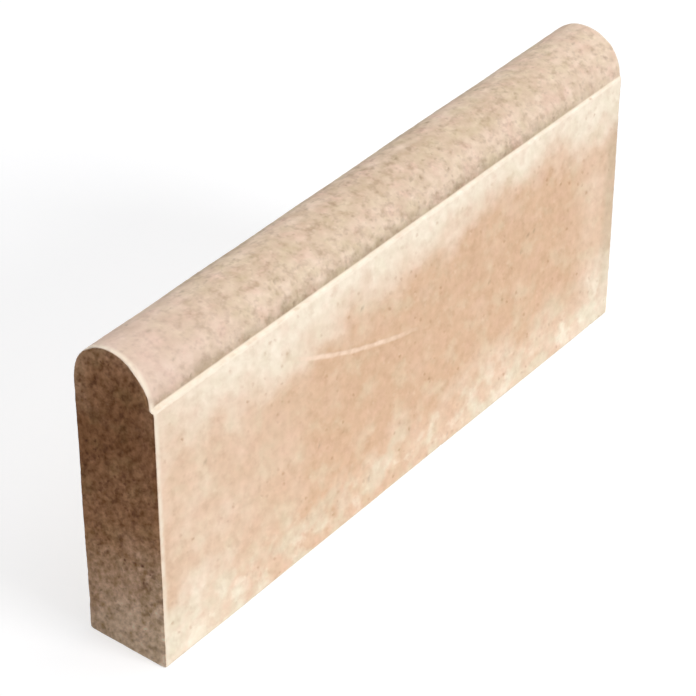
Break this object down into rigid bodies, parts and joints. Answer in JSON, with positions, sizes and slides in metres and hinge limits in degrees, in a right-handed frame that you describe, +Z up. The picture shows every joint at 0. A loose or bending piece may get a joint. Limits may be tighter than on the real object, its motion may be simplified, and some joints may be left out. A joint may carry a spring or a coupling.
{
  "type": "concrete kerb",
  "caption": "Straight cast concrete garden kerb: a thin upright block with flat faces and ends, a half-round top and a narrow ledge beside it, to edge a path or bed.",
  "frame": {"origin": "under the middle of the foot, on the plane that the kerb stands on", "axes": "+X along the kerb, -Y out of the front face, +Z up to the half-round top"},
  "size_m": [0.5, 0.065, 0.235],
  "materials": {
    "concrete": "dry pressed sandy buff concrete, matt, finely pitted, with pale bloom"
  },
  "bodies": {
    "root": {"kerb": "concrete"}
  },
  "joints": []
}
